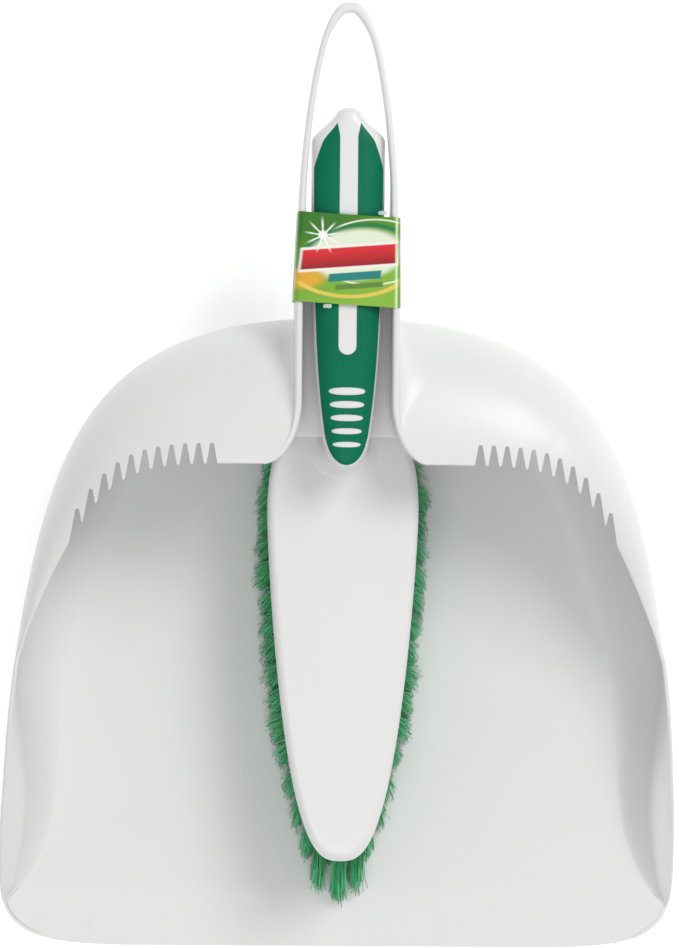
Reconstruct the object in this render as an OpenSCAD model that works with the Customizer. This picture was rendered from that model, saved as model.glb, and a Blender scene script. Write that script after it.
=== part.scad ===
// Hooded dust pan with a hand brush held in the trough of its handle.
// +Z is up, -Y is the mouth with its wedge lip, +Y is the handle with its hanging loop.

/* [Pan] */
// Width across the widest part of the mouth
pan_w = 320; // [300:1:340]
// Length from the lip to the end of the hanging loop
set_len = 442; // [436:1:450]
// Height of the hood at the middle of its front edge
hood_h = 92; // [90:1:96]
// Height of the side walls where the hood begins
side_h = 43; // [38:1:48]
// Thickness of the moulding
wall = 2.2; // [1.8:0.1:2.6]
// Thickness of the floor
floor_t = 2.4; // [2:0.1:3]
// Length of the wedge that thins the floor to the lip
lip_len = 27; // [22:1:32]

/* [Comb] */
// Distance from the middle of the hood to the first notch
notch_start = 62; // [60:0.5:64]
// Number of notches in each comb
notch_count = 11; // [6:1:12]
// Distance from one notch to the next
notch_pitch = 6.2; // [5.6:0.1:6.4]
// Depth of a notch
notch_depth = 10; // [7:0.5:11]

/* [Handle trough] */
// Width over the trough's walls at the hood
trough_w = 48.4; // [46:0.2:50]
// Height of the trough's underside
trough_z = 63.5; // [62:0.5:66]
// Height of the trough's top edges
trough_top = 93; // [91:0.5:94]
// Thickness of the trough's walls
trough_wall = 3.4; // [3:0.2:4]

/* [Brush] */
// Width of the bristle block
block_w = 70.6; // [66:0.2:72]
// Thickness of the bristle block
block_t = 15; // [13:0.5:16]
// Free length of the bristles below the block
bristle_len = 39.3; // [34:0.1:40]
// Radius of a tuft hole
tuft_r = 2.2; // [1.8:0.1:2.4]
// Width that the brush's handle grows to
grip_w = 34.8; // [33:0.2:36]

/* [Card sleeve] */
// Length of the sleeve along the handle
sleeve_len = 44.5; // [38:0.5:50]
// Thickness of the card
card_t = 0.5; // [0.4:0.1:0.8]

/* [Hidden] */
ROWS = 17;

white = "WhiteSmoke";
green = "SeaGreen";

// Plan of the pan: a rear arch that opens into the mouth, and a round corner at each end of the lip.
mouth = pan_w / 2;
lip_y = -set_len / 2;
loop_y = set_len / 2;
arch_y = lip_y + 297.4;
widest_y = lip_y + 51;
side_len = arch_y - widest_y;
arch_round = 34;
taper = 35.8;
corner_x = mouth - 90;
corner_power = 4.6;

// Front edge of the hood, and where it runs out into the rims of the side walls.
hood_y = lip_y + 228.5;
rim_y = lip_y + 137;
rim_s = pow((arch_y - rim_y) / side_len, 1 / 3);
hood_edge = 114;
hood_round = 20;
hood_drop = 6;
wall_end_y = lip_y + 18;
flare = 27;
flange = 9;
bend = 0.6;
foot_z = 0.3;

// The trough and the loop share one outline.
trough_front = lip_y + 241.5;
trough_end = lip_y + 354;
loop_start = lip_y + 371;
loop_taper_y = lip_y + 352;
lobe_rx = 18.5;
lobe_ry = 30;
lobe_y = hood_y + lobe_ry;
loop_w = trough_w - 2.8;
loop_h = 11;
loop_band = 3;
seam = 0.05;

// The brush.
block_z = floor_t + 0.3 + bristle_len;
block_top = block_z + block_t;
block_widest = lip_y + 205.3;
block_tip = lip_y + 43.5;
block_heel = lip_y + 257;
handle_y0 = lip_y + 227.4;
handle_y1 = lip_y + 393.6;
handle_z0 = trough_z + 4.8;
handle_z1 = trough_top - 1.5;
grip_t = 1.6;
strip_w = 8.4;
hole_depth = 10;
row_pitch = 12;
ring_inset = 6;
tuft_gap = 9.6;
tuft_spread = 1.6;
side_lean = 11;
row_lean = 13;
tip_lean = 18;
tip_rows = 5;

// The sleeve.
sleeve_y = lip_y + 301;
sleeve_gap = 0.4;

function row_name(k) = str("tuft_row_", k < 10 ? "0" : "", k);
function mix(a, b, t) = a + (b - a) * t;
function clamp(t) = min(max(t, 0), 1);
function ease(t) = let (c = clamp(t)) c * c * (3 - 2 * c);
function unit(v) = v / norm(v);
function bezier(a, b, c, d, t) =
    let (u = 1 - t) u * u * u * a + 3 * u * u * t * b + 3 * u * t * t * c + t * t * t * d;
function mirrored(points) =
    concat(points, [for (i = [len(points) - 1 : -1 : 0]) if (abs(points[i].x) > 0.001) [-points[i].x, points[i].y]]);

// Half width of the pan at y, on its sides.
function side_x(y) =
    (mouth - taper * pow(clamp((y - widest_y) / side_len), 1.6)) * pow(1 - exp((y - arch_y) / arch_round), 0.417);

// Outline of the pan: s runs from 0 at the rear, past 1 at the widest part, to 2 at the lip.
function outline(s) = s <= 1
    ? let (y = arch_y - side_len * pow(s, 3)) [side_x(y), y]
    : let (a = 90 * (s - 1)) [corner_x + 90 * pow(clamp(cos(a)), 2 / corner_power),
                              widest_y - 51 * pow(sin(a), 2 / corner_power)];
function outward(s) =
    let (a = outline(max(s - 0.004, 0.0005)), b = outline(min(s + 0.004, 1.995)), d = unit(b - a)) [-d.y, d.x, 0];

// How far a wall still has to run to its end at the lip: 1 where the hood begins, 0 at the end.
function left_of(s) = clamp((outline(s).y - wall_end_y) / (rim_y - wall_end_y));
function wall_h(s) = side_h * (1 - pow(1 - left_of(s), 1.5));
function foot_inset(s) = s < rim_s ? flare + 12 * (1 - pow(s / rim_s, 6)) : flare * (1 - pow(1 - left_of(s), 5.5));
function is_flange(s) = ease((s - rim_s) / 0.12);
function is_rim(s) = ease((s - rim_s + 0.12) / 0.12);

// Foot of the wall on the floor, its bulge or shoulder, and its free edge.
function foot(s) = let (o = outline(s), n = outward(s), f = foot_inset(s)) [o.x - f * n.x, o.y - f * n.y, foot_z];
function shoulder(s) =
    let (o = outline(s), n = outward(s), k = is_flange(s), f = k * min(flange, 0.35 * foot_inset(s)))
    [o.x - f * n.x, o.y - f * n.y, foot_z + wall_h(s) * mix(1, 0.78, is_rim(s))];
function hood_x(d) =
    let (span = hood_y - rim_y)
    hood_edge * pow(1 - exp(-d / hood_round), 0.121) + (side_x(rim_y) - hood_edge) * d / span;
function edge(s) = s >= rim_s
    ? let (o = outline(s)) [o.x, o.y, foot_z + wall_h(s)]
    : let (d = (hood_y - rim_y) * pow(s / rim_s, 6.8), x = hood_x(d), rise = hood_h - hood_drop - side_h)
      [x, hood_y - d, foot_z + side_h + rise * pow(1 - d / (hood_y - rim_y), 1.5) + hood_drop * clamp(1 - pow(x / 90, 2))];

// The moulding's outer face: v runs from 0 at the foot to 1 at the shoulder and 2 at the free edge.
function outer_face(s, v) =
    let (n = outward(s), k = is_flange(s), a = foot(s), m = shoulder(s), e = edge(s), up = [0, 0, 1],
         lean = unit(mix(up, unit([0.42 * n.x, 0.42 * n.y, 1]), k)),
         run = [e.x - m.x, e.y - m.y, 0],
         end = s < rim_s ? run / max(norm(run), 0.01) : unit([n.x, n.y, 0.8]))
    v < 1
    ? bezier(a, a + 0.42 * norm(m - a) * n, m - 0.42 * m.z * lean, m, v)
    : bezier(m, m + bend * abs(e.z - m.z) * lean, e - bend * min(norm(run), 1.5 * abs(e.z - m.z)) * end, e, v - 1);

function face_normal(s, v) =
    let (a = max(s, 0.004), ds = outer_face(a + 0.003, v) - outer_face(a - 0.003, v),
         dv = outer_face(a, min(v + 0.02, 2)) - outer_face(a, max(v - 0.02, 0)))
    unit(cross(dv, ds));
function inner_face(s, v) =
    let (thick = min(wall, 0.4 * wall_h(s)))
    v == 0 ? outer_face(s, 0) + [0, 0, 0.9 * thick] : outer_face(s, v) - thick * face_normal(s, v);
function flip_x(p, side) = [side * p.x, p.y, p.z];

steps_s = [for (i = [0 : 19]) max(0.003, rim_s * i / 19), for (i = [1 : 5]) mix(rim_s, 1, i / 5),
           for (a = [1.5, 4, 7, 10.5, 14.5, 18.5]) 1 + a / 90];
steps_v = [0, 0.22, 0.45, 0.7, 1, 1.15, 1.32, 1.5, 1.68, 1.84, 2];

// Half outline of the trough and the loop at y.
function lobe_flare(y) = lobe_rx * (1 - sqrt(1 - pow(clamp((lobe_y - y) / lobe_ry), 2)));
function trough_x(y) = y <= loop_taper_y
    ? mix(loop_w, trough_w, clamp((loop_taper_y - y) / 52)) / 2 + lobe_flare(y)
    : loop_w / 2 * pow(1 - pow(clamp((y - loop_taper_y) / (loop_y - loop_taper_y)), 1.35), 0.4);
function trough_plan(y0, y1, inset) = mirrored(
    [for (y = [each [for (y = [y0 : 2 : lobe_y]) y],
               each let (start = max(y0, lobe_y + 1)) [for (k = [0 : 22]) mix(start, y1 - inset, 1 - pow(1 - k / 22, 2))]])
        [max(trough_x(y + (y > loop_taper_y ? inset * (y - loop_taper_y) / (loop_y - loop_taper_y) : 0)) - inset, 0), y]]);

// Half outline of the bristle block at y.
function block_x(y) = block_w / 2 * (y < block_widest
    ? pow(clamp(1 - pow((block_widest - y) / (block_widest - block_tip), 1.27)), 0.355)
    : pow(clamp(1 - pow((y - block_widest) / (block_heel - block_widest), 2.5)), 0.4));
function block_plan(inset) = mirrored(
    [for (k = [0 : 40]) let (a = 180 * k / 40, y = mix(block_heel, block_tip, (1 - cos(a)) / 2),
                             shrink = 1 - inset / (block_w / 2))
        [block_x(y) * shrink, mix(block_widest, y, 1 - inset / 90)]]);

// Half width of the brush's handle at y: rounded toe, long taper, shoulders and a blunt nose.
function handle_x(y) =
    let (up = y - handle_y0, down = handle_y1 - y,
         taper_w = grip_w - 18.4 * exp(-up / 40),
         toe = pow(clamp(1 - pow(clamp(1 - up / 13), 2.6)), 0.385),
         nose = mix(0.32, 1, ease((down - 1) / 15)),
         blunt = pow(clamp(1 - pow(clamp(1 - down / 2.5), 2)), 0.5))
    max(taper_w / 2 * toe * nose * blunt, 0);
handle_ys = [for (k = [0.6 : 1 : 31]) handle_at(k / 31.2)];
function handle_at(t) =
    let (toe_len = 16, nose_len = 22, n = handle_y1 - handle_y0)
    t < 0.3 ? handle_y0 + toe_len * (1 - cos(300 * t)) :
    t > 0.66 ? handle_y1 - nose_len * (1 - cos(265 * (1 - t))) : mix(handle_y0 + toe_len, handle_y1 - nose_len, (t - 0.3) / 0.36);
function handle_ring(y, grow) =
    let (w = handle_x(y) + grow, mid = (handle_z0 + handle_z1) / 2,
         end = ease(min(y - handle_y0 + 3, handle_y1 - y + 4) / 16), h = (handle_z1 - handle_z0) / 2 * mix(0.7, 1, end))
    [for (k = [0 : 19]) let (a = 18 * k)
        [w * sign(cos(a)) * pow(abs(cos(a)), 0.75), y,
         mid + (handle_z1 - handle_z0) / 2 - h + h * sign(sin(a)) * pow(abs(sin(a)), 0.75) + grow * sin(a)]];

// Rows of tufts, from the tip to the heel.
function row_y(k) = k == 1 ? block_tip + 9.5 : block_tip + 20.5 + (k - 2) * row_pitch;
function row_half(k) = block_x(row_y(k)) - ring_inset + (k == 1 ? 1 : 0);
function row_count(k) = max(3, floor(2 * row_half(k) / tuft_gap + 1.5));
function tuft_x(k, i) = mix(-row_half(k), row_half(k), i / (row_count(k) - 1));
function forward(k) = row_lean + tip_lean * pow(clamp((tip_rows + 1 - k) / tip_rows), 1.5);
function sideways(k, i) = side_lean * tuft_x(k, i) / row_half(k);

function ring_faces(rings, sides) = [
    for (r = [0 : rings - 2]) for (k = [0 : sides - 1])
        let (a = r * sides + k, b = r * sides + (k + 1) % sides) each [[a, b + sides, b], [a, a + sides, b + sides]],
    [for (k = [0 : sides - 1]) k],
    [for (k = [sides - 1 : -1 : 0]) (rings - 1) * sides + k]];

module loft(rings) {
    sides = len(rings[0]);
    polyhedron([for (ring = rings) each ring], ring_faces(len(rings), sides), convexity = 4);
}

// One ring per station round the pan, each a closed section of the wall.
module wall_shell() {
    section = function (s, side) concat(
        [for (v = steps_v) flip_x(outer_face(s, v), side)],
        [for (j = [len(steps_v) - 1 : -1 : 0]) flip_x(inner_face(s, steps_v[j]), side)]);
    last = len(steps_s) - 1;
    loft(concat([for (i = [last : -1 : 1]) section(steps_s[i], -1)], [for (i = [0 : last]) section(steps_s[i], 1)]));
}

module floor_plate() {
    feet = [for (i = [0 : len(steps_s) - 2]) let (s = mix(steps_s[i], steps_s[i + 1], i == 0 ? 0.1 : 0.45),
                                                   f = foot(s), n = outward(s)) [f.x + n.x, f.y + n.y]];
    front = [for (a = [20 : 3.5 : 90]) outline(1 + a / 90)];
    difference() {
        linear_extrude(floor_t) polygon(mirrored(concat(feet, front)));
        translate([0, lip_y - 1, 0.7]) rotate([atan((floor_t - 0.7) / lip_len), 0, 0])
            translate([-pan_w, 0, 0]) cube([2 * pan_w, lip_len + 1, 10]);
    }
}

// A notch of the comb, with a round root and straight flanks that run out in front of the edge.
module notch(x, root_y) {
    hull() {
        translate([x, root_y - 1, 20]) cylinder(r = 1, h = 80, $fn = 16);
        translate([x - notch_pitch * 0.72, root_y - 2 * notch_depth, 20]) cube([notch_pitch * 1.44, 0.1, 80]);
    }
}

// Opening in front of the trough, between the two round lobes of the hood.
module lobe_gap() {
    inner = trough_w / 2 - trough_wall;
    linear_extrude(200) polygon(mirrored(
        [for (k = [-1 : 14]) let (y = lobe_y - lobe_ry * (k < 0 ? 1.1 : sin(90 * (1 - k / 14)))) [inner + lobe_flare(y), y]]));
}

module pan_shell() {
    color(white) difference() {
        union() {
            wall_shell();
            floor_plate();
        }
        for (side = [-1, 1]) for (i = [0 : notch_count - 1])
            let (x = notch_start + i * notch_pitch) notch(side * x, hood_y - hood_back(x) + notch_depth);
        translate([0, 0, 20]) lobe_gap();
        translate([0, 0, trough_z - seam]) linear_extrude(100)
            polygon(trough_plan(trough_front - 12, loop_start, -seam));
    }
}

// How far behind the straight front edge the hood's edge lies at x, found by halving.
function hood_back(x, lo = 0, hi = 91, left = 12) = left == 0
    ? (lo + hi) / 2
    : let (mid = (lo + hi) / 2) hood_x(mid) < x ? hood_back(x, mid, hi, left - 1) : hood_back(x, lo, mid, left - 1);

module side_view(points) {
    rotate([90, 0, 90]) translate([0, 0, -50]) linear_extrude(100) polygon(points);
}

module handle_trough() {
    color(white) intersection() {
        difference() {
            translate([0, 0, trough_z]) linear_extrude(trough_top - trough_z)
                polygon(trough_plan(trough_front, loop_start, 0));
            translate([0, 0, trough_z + 2.5]) linear_extrude(100)
                polygon(trough_plan(trough_front - 1, loop_start + trough_wall + 1, trough_wall));
            translate([-50, trough_end, 0]) cube([100, 100, trough_top - loop_h]);
        }
        side_view([[trough_front, trough_z], [trough_end - 14, trough_z], [trough_end + 3, trough_top - loop_h],
                   [loop_start, trough_top - loop_h], [loop_start, trough_top], [trough_front, trough_top]]);
    }
}

module hanging_loop() {
    color(white) translate([0, 0, trough_top - loop_h]) linear_extrude(loop_h) difference() {
        polygon(trough_plan(loop_start, loop_y, 0));
        polygon(trough_plan(loop_start - 1, loop_y, loop_band));
    }
}

module handle_solid(grow = 0) {
    loft([for (i = [len(handle_ys) - 1 : -1 : 0]) handle_ring(handle_ys[i], grow)]);
}

// Plan of the green overmould: two long lobes, joined below the white strip.
module grip_plan(gap = 0) {
    rim = 1.1 + gap;
    difference() {
        polygon(mirrored([for (k = [0 : 36])
            let (y = mix(handle_y0 + rim, handle_y1 - 7, (1 - cos(5 * k)) / 2), point = pow(clamp((handle_y1 - 7 - y) / 21), 0.55))
            [max(mix(4.6, handle_x(y - (y < handle_y0 + 13 ? rim : 0)) - rim, point), 0.01), y]]));
        hull() {
            translate([0, handle_y0 + 52 + strip_w / 2]) circle(d = strip_w + 2 * gap, $fn = 32);
            translate([0, handle_y1]) circle(d = strip_w + 2 * gap, $fn = 32);
        }
        for (side = [-1, 1]) hull() {
            translate([side * 2.4, handle_y1 - 17]) circle(d = 3.8 + 2 * gap, $fn = 24);
            translate([side * 4.4, handle_y1 - 5]) circle(d = 3.8 + 2 * gap, $fn = 24);
        }
        for (k = [0 : 4]) hull() for (side = [-1, 1])
            translate([side * (5.2 + 0.45 * k), handle_y0 + 10.6 + 6.15 * k]) circle(d = 2.6 + 0.25 * k + 2 * gap, $fn = 24);
    }
}

module grip_space(gap = 0) {
    translate([0, 0, handle_z1 - grip_t - 4.5]) linear_extrude(20) grip_plan(gap);
}

module tuft_at(k, i) {
    translate([tuft_x(k, i), row_y(k), block_z]) rotate([-forward(k), -sideways(k, i), 0]) children();
}

module brush_body() {
    color(white) difference() {
        union() {
            hull() for (step = [[0, 0.8], [0.8, 0], [block_t - 4.5, 0], [block_t - 1.8, 1.2], [block_t - 0.5, 3.2], [block_t, 5.5]])
                translate([0, 0, block_z + step[0]]) linear_extrude(0.01) polygon(block_plan(step[1]));
            difference() {
                handle_solid();
                difference() {
                    grip_space(-0.05);
                    handle_solid(-grip_t);
                }
            }
            hull() {
                translate([0, handle_y0 + 1.5, block_top - 3]) scale([1, 0.62, 1]) cylinder(r = 15, h = 1, $fn = 32);
                translate([0, handle_y0 + 7, handle_z0 + 3]) scale([1, 0.5, 1]) cylinder(r = 8.5, h = 4, $fn = 32);
            }
        }
        for (k = [1 : ROWS]) for (i = [0 : row_count(k) - 1])
            tuft_at(k, i) translate([0, 0, -2]) cylinder(r = tuft_r + 0.05, h = hole_depth + 2, $fn = 10);
    }
}

module brush_grip() {
    color(green) intersection() {
        difference() {
            handle_solid();
            handle_solid(-grip_t);
        }
        grip_space();
    }
}

// A tuft stands in its hole with its folded root round a flat anchor, and spreads towards its tips.
module tuft_row(k) {
    root_r = tuft_r - 0.15;
    tip_r = tuft_r + tuft_spread;
    color("MediumSeaGreen") for (i = [0 : row_count(k) - 1])
        let (upright = cos(forward(k)) * cos(sideways(k, i)),
             long = (bristle_len - tip_r * sqrt(1 - upright * upright)) / upright)
        tuft_at(k, i) difference() {
            union() {
                translate([0, 0, -0.1]) cylinder(r = root_r, h = hole_depth, $fn = 24);
                translate([0, 0, -long]) cylinder(r1 = tip_r, r2 = root_r, h = long, $fn = 24);
            }
            translate([0, 0, hole_depth - 1.6]) cube([6, 0.5, 2], center = true);
        }
}

module tuft_anchors() {
    color("Silver") for (k = [1 : ROWS]) for (i = [0 : row_count(k) - 1])
        tuft_at(k, i) translate([0, 0, hole_depth - 1.6]) cube([2 * tuft_r - 0.2, 0.4, 1.9], center = true);
}

module card_sleeve() {
    half = trough_w / 2 + sleeve_gap;
    low = trough_z - sleeve_gap;
    high = trough_top + sleeve_gap;
    color("YellowGreen") difference() {
        translate([-half - card_t, sleeve_y, low - card_t])
            cube([2 * (half + card_t), sleeve_len, high - low + 2 * card_t]);
        translate([-half, sleeve_y - 1, low]) cube([2 * half, sleeve_len + 2, high - low]);
    }
}

// The flat end of a clear tag pin, standing half out over the sleeve's edge.
module tie_end(x, y) {
    color("White", 0.5) translate([x, y, trough_top + sleeve_gap + card_t]) {
        translate([-2.4, -1.4, 0]) cube([4.8, 2.8, 1]);
        cylinder(r = 0.8, h = 1.6, $fn = 24);
    }
}

module tie_rear() {
    tie_end(15.5, sleeve_y + sleeve_len - 0.7);
}

module tie_front() {
    tie_end(-9.5, sleeve_y + 0.7);
}

pan_shell();
handle_trough();
hanging_loop();
brush_body();
brush_grip();
tuft_anchors();
for (k = [1 : ROWS]) tuft_row(k);
card_sleeve();
tie_rear();
tie_front();
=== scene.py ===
# %% [markdown]
# # A dust pan with its hand brush
# Three things travel together here: a hooded dust pan moulded in white plastic, a hand brush that lies in
# the trough of the pan's handle, and a printed card sleeve that holds the two together. The solid model
# gives the joints, the collision shapes and the sizes. What follows gives each piece the surface that the
# eye expects: curved moulding, rolled edges, thousands of bristles and a printed card. The first cell loads
# the solid model, which never moves.

# %% Load the solid model
import math
import bmesh
import bpy
import numpy as np
from mathutils import Matrix, Vector
from mathutils.bvhtree import BVHTree


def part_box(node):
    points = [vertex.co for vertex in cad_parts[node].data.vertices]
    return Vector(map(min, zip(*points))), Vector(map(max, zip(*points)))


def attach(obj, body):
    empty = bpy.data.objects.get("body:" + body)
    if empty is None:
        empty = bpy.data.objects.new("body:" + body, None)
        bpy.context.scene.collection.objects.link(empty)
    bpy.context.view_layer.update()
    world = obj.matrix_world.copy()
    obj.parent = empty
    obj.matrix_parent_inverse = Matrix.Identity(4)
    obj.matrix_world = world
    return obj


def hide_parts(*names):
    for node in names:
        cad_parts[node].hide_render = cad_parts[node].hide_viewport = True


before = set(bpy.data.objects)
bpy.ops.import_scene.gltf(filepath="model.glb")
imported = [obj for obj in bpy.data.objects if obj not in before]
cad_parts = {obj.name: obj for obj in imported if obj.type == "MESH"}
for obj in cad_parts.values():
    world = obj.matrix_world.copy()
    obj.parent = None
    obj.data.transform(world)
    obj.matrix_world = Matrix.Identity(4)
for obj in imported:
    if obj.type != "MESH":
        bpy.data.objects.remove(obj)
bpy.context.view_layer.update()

# %% [markdown]
# ## Small tools
# All lengths below are in millimetres, because that is how moulders think, and they become metres only when
# a mesh is made. The same few curves come back everywhere: a clamp, a soft step, a blend, a cubic arc
# and a power that keeps its sign.

# %% Curves used everywhere
MM = 0.001


def clamp(t):
    """t, held between 0 and 1."""
    return np.clip(t, 0.0, 1.0)


def ease(t):
    """Soft step: 3 t squared minus 2 t cubed, flat at both ends."""
    c = clamp(t)
    return c * c * (3 - 2 * c)


def mix(a, b, t):
    """a at t = 0 and b at t = 1."""
    return a + (b - a) * t


def unit(v):
    """Each vector divided by its length."""
    return v / np.maximum(np.linalg.norm(v, axis=-1, keepdims=True), 1e-9)


def arc(a, b, c, d, t):
    """Cubic Bezier arc from a to d that leaves towards b and arrives from c."""
    u = 1 - t
    return u**3 * a + 3 * u**2 * t * b + 3 * u * t**2 * c + t**3 * d


def bend(c, power):
    """c raised to a power with its sign kept, which turns a circle into a superellipse."""
    return np.sign(c) * np.abs(c) ** power


print("soft step at a quarter:", ease(0.25))

# %% [markdown]
# A surface here is a grid: rows by columns of points, worked out in one go as an array. The next cell turns
# a grid into four-sided faces, and hands points and faces to a mesh without a loop. Where a grid shrinks to
# a pole or meets its mirror image, doubled points are merged, open ends are capped and the faces are turned
# outwards. Edges sharper than a given angle stay crisp, and all others are shaded smooth.

# %% Grids into meshes
def grid_faces(rows, cols, ring=False, start=0):
    """Faces between each row and the next; ring joins a row's last point to its first."""
    i, j = np.arange(rows - 1)[:, None], np.arange(cols if ring else cols - 1)[None, :]
    a, b = i * cols + j, i * cols + (j + 1) % cols
    return start + np.stack([a, b, b + cols, a + cols], -1).reshape(-1, 4)


def bare_mesh(name, points, faces):
    """A mesh from points in millimetres and faces that all have the same number of corners."""
    mesh = bpy.data.meshes.new(name)
    mesh.vertices.add(len(points))
    mesh.vertices.foreach_set("co", (points * MM).astype(np.float32).ravel())
    mesh.loops.add(faces.size)
    mesh.loops.foreach_set("vertex_index", faces.astype(np.int32).ravel())
    mesh.polygons.add(len(faces))
    mesh.polygons.foreach_set("loop_start", np.arange(0, faces.size, faces.shape[1], dtype=np.int32))
    mesh.update(calc_edges=True)
    return mesh


def crisp(mesh, angle):
    """Smooth shading, with edges sharper than the angle, in degrees, kept crisp."""
    mesh.polygons.foreach_set("use_smooth", np.ones(len(mesh.polygons), bool))
    mesh.set_sharp_from_angle(angle=math.radians(angle))


def seal(mesh, gap=0.002, angle=35, level=None):
    """Merges points closer than gap, caps open ends, turns faces outwards. level splits faces at that y."""
    b = bmesh.new()
    b.from_mesh(mesh)
    bmesh.ops.remove_doubles(b, verts=b.verts, dist=gap * MM)
    bmesh.ops.dissolve_degenerate(b, edges=b.edges, dist=gap * MM)
    if level is not None:
        everything = [*b.verts, *b.edges, *b.faces]
        bmesh.ops.bisect_plane(b, geom=everything, plane_co=(0, level * MM, 0), plane_no=(0, 1, 0), dist=1e-7)
    bmesh.ops.holes_fill(b, edges=[e for e in b.edges if e.is_boundary], sides=0)
    bmesh.ops.recalc_face_normals(b, faces=b.faces)
    b.to_mesh(mesh)
    b.free()
    crisp(mesh, angle)
    return mesh


def lofted(name, rings, **how):
    """A closed skin through rings of points, one ring to a row of the array."""
    return seal(bare_mesh(name, rings.reshape(-1, 3), grid_faces(*rings.shape[:2], ring=True)), **how)


def piece(name, mesh, body, slot, *stands_for):
    """Puts a mesh in the scene, rides it on a body and hides the solids it stands for."""
    made = bpy.data.objects.new(name, mesh)
    bpy.context.scene.collection.objects.link(made)
    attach(made, body)
    if stands_for:
        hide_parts(*stands_for)
    print(name, len(mesh.vertices), "points,", len(mesh.polygons), "faces")
    return made


# %% [markdown]
# Notches, slots and the channel are cut the way a mould maker would cut them: a prism with the outline of
# the opening is subtracted from the finished surface. The prism is thrown away after the cut.

# %% Cutting with prisms
def prism(outline, low, high):
    """Mesh of a flat outline, n points of x and y, carried from height low to height high."""
    n = len(outline)
    points = np.concatenate([np.c_[outline, np.full(n, low)], np.c_[outline, np.full(n, high)]])
    return seal(bare_mesh("cutter", points, grid_faces(2, n, ring=True)), gap=0.0005)


def cut(mesh, cutter, how="DIFFERENCE"):
    """The mesh less the cutter, or their common part."""
    parts = [bpy.data.objects.new("carve", m) for m in (mesh, cutter)]
    for part in parts:
        bpy.context.scene.collection.objects.link(part)
    knife = parts[0].modifiers.new("cut", "BOOLEAN")
    knife.operation, knife.object, knife.solver = how, parts[1], "MANIFOLD"
    shown = parts[0].evaluated_get(bpy.context.evaluated_depsgraph_get())
    result = bpy.data.meshes.new_from_object(shown)
    result.name = mesh.name
    result.materials.clear()
    for part in parts:
        bpy.data.objects.remove(part)
    crisp(result, 35)
    print("cut left", len(result.polygons), "faces")
    return result


def both_sides(half):
    """A closed outline from its right half, listed from front to rear."""
    return np.concatenate([half, (half * [-1, 1])[::-1][np.abs(half[::-1, 0]) > 1e-6]])


# %% [markdown]
# ## Writing finishes as sums
# A finish is a small graph of nodes, which is hard to read as a list of links. The two classes below let it
# be written as arithmetic: a `Value` stands for a number that changes over the surface, and adding,
# multiplying or raising it puts in the Math node. `Finish.node` puts in any other node: its settings first,
# then its sockets.

# %% Values and finishes
class Value:
    """A number that changes over a surface."""

    def __init__(self, finish, socket):
        self.finish, self.socket = finish, socket

    def math(self, operation, a, b=0.0):
        made = self.finish.node("Math", {"operation": operation}, {0: a, 1: b})
        return Value(self.finish, made.outputs[0])

    def __add__(self, other):
        return self.math("ADD", self, other)

    def __radd__(self, other):
        return self.math("ADD", other, self)

    def __sub__(self, other):
        return self.math("SUBTRACT", self, other)

    def __rsub__(self, other):
        return self.math("SUBTRACT", other, self)

    def __mul__(self, other):
        return self.math("MULTIPLY", self, other)

    def __rmul__(self, other):
        return self.math("MULTIPLY", other, self)

    def __truediv__(self, other):
        return self.math("DIVIDE", self, other)

    def __rtruediv__(self, other):
        return self.math("DIVIDE", other, self)

    def __pow__(self, other):
        return self.math("POWER", self, other)

    def __abs__(self):
        return self.math("ABSOLUTE", self)

    def step(self, low, high):
        """Soft step from 0 where this is low to 1 where it is high."""
        made = self.finish.node(
            "MapRange", {"interpolation_type": "SMOOTHSTEP"}, {"Value": self, "From Min": low, "From Max": high}
        )
        return Value(self.finish, made.outputs[0])


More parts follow.
